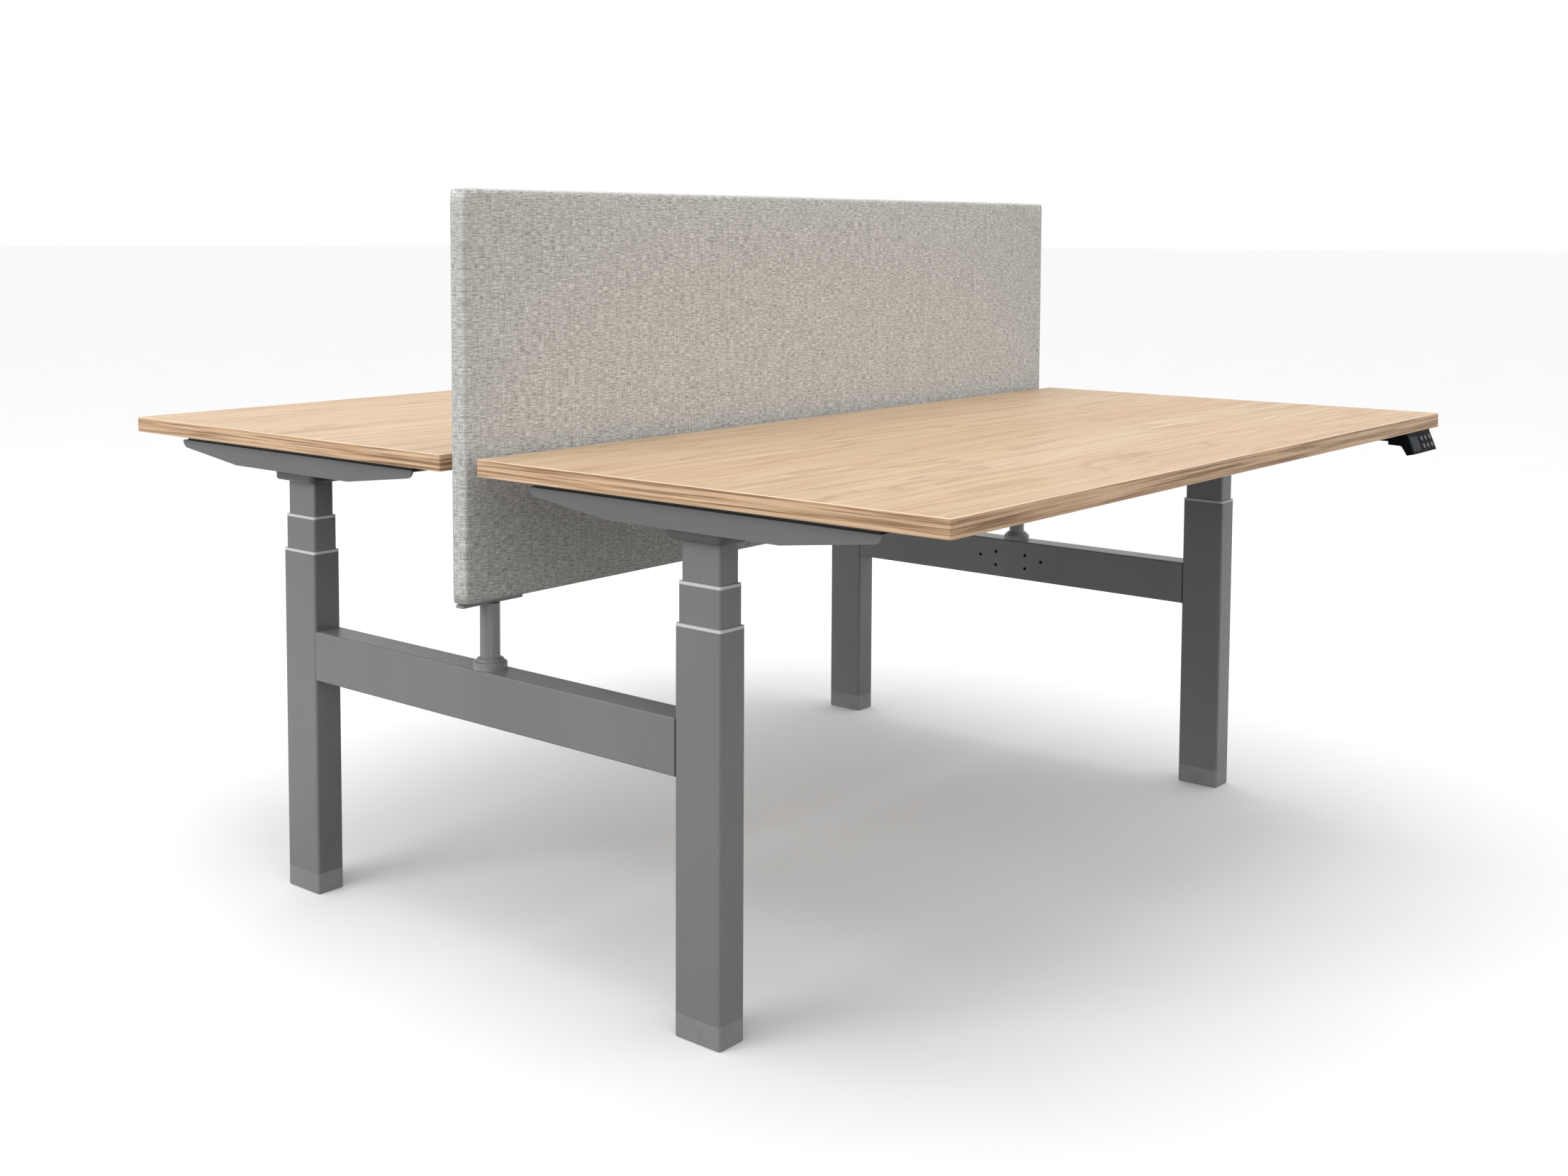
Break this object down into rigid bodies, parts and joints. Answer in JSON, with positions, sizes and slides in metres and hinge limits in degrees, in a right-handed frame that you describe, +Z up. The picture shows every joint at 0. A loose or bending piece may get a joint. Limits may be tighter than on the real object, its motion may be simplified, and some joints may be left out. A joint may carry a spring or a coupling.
{
  "type": "study carrel",
  "caption": "Back-to-back sit-stand study bench: two oak-decor desktops on telescopic steel columns, either side of an upholstered divider screen.",
  "frame": {"origin": "on the floor under the middle of the bench", "axes": "+X along the desktops from the near end frame to the far one, +Y across the bench from the front desk to the rear desk, +Z up"},
  "size_m": [1.6, 1.708, 1.135],
  "materials": {
    "oak_top": "matt oak-grain laminate",
    "oak_band": "matt oak-grain edge band",
    "frame_grey": "fine-texture powder coat",
    "arm_grey": "satin powder coat",
    "post_grey": "satin powder coat",
    "cap_grey": "fine-grained moulded plastic",
    "glide_light": "low-friction moulded plastic",
    "screw_steel": "turned steel, lightly oiled",
    "zinc_steel": "bright zinc plate",
    "motor_grey": "satin powder coat",
    "core_board": "raw fibreboard",
    "screen_fabric": "light grey melange weave",
    "box_black": "spark-eroded black plastic",
    "handset_black": "satin black plastic",
    "button_grey": "soft-touch grey plastic"
  },
  "bodies": {
    "root": {"near_cross_beam": "frame_grey", "near_front_outer_column": "frame_grey", "near_rear_outer_column": "frame_grey", "far_cross_beam": "frame_grey", "far_front_outer_column": "frame_grey", "far_rear_outer_column": "frame_grey", "column_end_caps": "cap_grey", "lower_glide_bushes": "glide_light", "lift_nut_tubes": "zinc_steel", "frame_fasteners": "zinc_steel", "screen_posts": "post_grey", "post_collars": "post_grey", "screen_core": "core_board", "screen_upholstery": "screen_fabric"},
    "front_middle_stages": {"near_front_middle_tube": "frame_grey", "far_front_middle_tube": "frame_grey", "front_upper_glide_bushes": "glide_light", "front_hollow_lift_screws": "screw_steel"},
    "front_desk": {"near_front_inner_tube": "frame_grey", "near_front_support_arm": "arm_grey", "far_front_inner_tube": "frame_grey", "far_front_support_arm": "arm_grey", "front_lift_motors": "motor_grey", "front_long_rails": "frame_grey", "front_wood_screws": "zinc_steel", "front_desktop": "oak_top", "front_edge_band": "oak_band", "front_control_box": "box_black", "front_handset_housing": "handset_black"},
    "near_front_drive_screw": {"near_front_drive_screw": "screw_steel"},
    "far_front_drive_screw": {"far_front_drive_screw": "screw_steel"},
    "front_button_up": {"front_button_up": "button_grey"},
    "front_button_down": {"front_button_down": "button_grey"},
    "front_button_memory_1": {"front_button_memory_1": "button_grey"},
    "front_button_memory_2": {"front_button_memory_2": "button_grey"},
    "front_button_memory_3": {"front_button_memory_3": "button_grey"},
    "front_button_store": {"front_button_store": "button_grey"},
    "rear_middle_stages": {"near_rear_middle_tube": "frame_grey", "far_rear_middle_tube": "frame_grey", "rear_upper_glide_bushes": "glide_light", "rear_hollow_lift_screws": "screw_steel"},
    "rear_desk": {"near_rear_inner_tube": "frame_grey", "near_rear_support_arm": "arm_grey", "far_rear_inner_tube": "frame_grey", "far_rear_support_arm": "arm_grey", "rear_lift_motors": "motor_grey", "rear_long_rails": "frame_grey", "rear_wood_screws": "zinc_steel", "rear_desktop": "oak_top", "rear_edge_band": "oak_band", "rear_control_box": "box_black", "rear_handset_housing": "handset_black"},
    "near_rear_drive_screw": {"near_rear_drive_screw": "screw_steel"},
    "far_rear_drive_screw": {"far_rear_drive_screw": "screw_steel"},
    "rear_button_up": {"rear_button_up": "button_grey"},
    "rear_button_down": {"rear_button_down": "button_grey"},
    "rear_button_memory_1": {"rear_button_memory_1": "button_grey"},
    "rear_button_memory_2": {"rear_button_memory_2": "button_grey"},
    "rear_button_memory_3": {"rear_button_memory_3": "button_grey"},
    "rear_button_store": {"rear_button_store": "button_grey"}
  },
  "joints": [
    {"name": "front_desk_lift", "type": "slide", "parent": "root", "child": "front_desk", "axis": [0, 0, 1], "range_m": [-0.1, 0.5]},
    {"name": "front_middle_lift", "type": "slide", "parent": "root", "child": "front_middle_stages", "axis": [0, 0, 1], "range_m": [-0.05, 0.25]},
    {"name": "near_front_screw_turn", "type": "hinge", "parent": "front_desk", "child": "near_front_drive_screw", "pos_m": [-0.74, -0.428, 0.36], "axis": [0, 0, 1], "range_deg": [-2250, 11250]},
    {"name": "far_front_screw_turn", "type": "hinge", "parent": "front_desk", "child": "far_front_drive_screw", "pos_m": [0.74, -0.428, 0.36], "axis": [0, 0, 1], "range_deg": [-2250, 11250]},
    {"name": "front_press_up", "type": "slide", "parent": "front_desk", "child": "front_button_up", "axis": [0, 0.9285, -0.3714], "range_m": [0, 0.0008], "stiffness_N_per_m": 600, "springref_m": -0.0006},
    {"name": "front_press_down", "type": "slide", "parent": "front_desk", "child": "front_button_down", "axis": [0, 0.9285, -0.3714], "range_m": [0, 0.0008], "stiffness_N_per_m": 600, "springref_m": -0.0006},
    {"name": "front_press_memory_1", "type": "slide", "parent": "front_desk", "child": "front_button_memory_1", "axis": [0, 0.9285, -0.3714], "range_m": [0, 0.0008], "stiffness_N_per_m": 600, "springref_m": -0.0006},
    {"name": "front_press_memory_2", "type": "slide", "parent": "front_desk", "child": "front_button_memory_2", "axis": [0, 0.9285, -0.3714], "range_m": [0, 0.0008], "stiffness_N_per_m": 600, "springref_m": -0.0006},
    {"name": "front_press_memory_3", "type": "slide", "parent": "front_desk", "child": "front_button_memory_3", "axis": [0, 0.9285, -0.3714], "range_m": [0, 0.0008], "stiffness_N_per_m": 600, "springref_m": -0.0006},
    {"name": "front_press_store", "type": "slide", "parent": "front_desk", "child": "front_button_store", "axis": [0, 0.9285, -0.3714], "range_m": [0, 0.0008], "stiffness_N_per_m": 600, "springref_m": -0.0006},
    {"name": "rear_desk_lift", "type": "slide", "parent": "root", "child": "rear_desk", "axis": [0, 0, 1], "range_m": [-0.1, 0.5]},
    {"name": "rear_middle_lift", "type": "slide", "parent": "root", "child": "rear_middle_stages", "axis": [0, 0, 1], "range_m": [-0.05, 0.25]},
    {"name": "near_rear_screw_turn", "type": "hinge", "parent": "rear_desk", "child": "near_rear_drive_screw", "pos_m": [-0.74, 0.428, 0.36], "axis": [0, 0, 1], "range_deg": [-2250, 11250]},
    {"name": "far_rear_screw_turn", "type": "hinge", "parent": "rear_desk", "child": "far_rear_drive_screw", "pos_m": [0.74, 0.428, 0.36], "axis": [0, 0, 1], "range_deg": [-2250, 11250]},
    {"name": "rear_press_up", "type": "slide", "parent": "rear_desk", "child": "rear_button_up", "axis": [0, -0.9285, -0.3714], "range_m": [0, 0.0008], "stiffness_N_per_m": 600, "springref_m": -0.0006},
    {"name": "rear_press_down", "type": "slide", "parent": "rear_desk", "child": "rear_button_down", "axis": [0, -0.9285, -0.3714], "range_m": [0, 0.0008], "stiffness_N_per_m": 600, "springref_m": -0.0006},
    {"name": "rear_press_memory_1", "type": "slide", "parent": "rear_desk", "child": "rear_button_memory_1", "axis": [0, -0.9285, -0.3714], "range_m": [0, 0.0008], "stiffness_N_per_m": 600, "springref_m": -0.0006},
    {"name": "rear_press_memory_2", "type": "slide", "parent": "rear_desk", "child": "rear_button_memory_2", "axis": [0, -0.9285, -0.3714], "range_m": [0, 0.0008], "stiffness_N_per_m": 600, "springref_m": -0.0006},
    {"name": "rear_press_memory_3", "type": "slide", "parent": "rear_desk", "child": "rear_button_memory_3", "axis": [0, -0.9285, -0.3714], "range_m": [0, 0.0008], "stiffness_N_per_m": 600, "springref_m": -0.0006},
    {"name": "rear_press_store", "type": "slide", "parent": "rear_desk", "child": "rear_button_store", "axis": [0, -0.9285, -0.3714], "range_m": [0, 0.0008], "stiffness_N_per_m": 600, "springref_m": -0.0006}
  ],
  "couplings": [
    {"joint": "front_middle_lift", "follows": "front_desk_lift", "ratio": 0.5},
    {"joint": "near_front_screw_turn", "follows": "front_desk_lift", "rad_per_m": 392.7},
    {"joint": "far_front_screw_turn", "follows": "front_desk_lift", "rad_per_m": 392.7},
    {"joint": "rear_middle_lift", "follows": "rear_desk_lift", "ratio": 0.5},
    {"joint": "near_rear_screw_turn", "follows": "rear_desk_lift", "rad_per_m": 392.7},
    {"joint": "far_rear_screw_turn", "follows": "rear_desk_lift", "rad_per_m": 392.7}
  ]
}
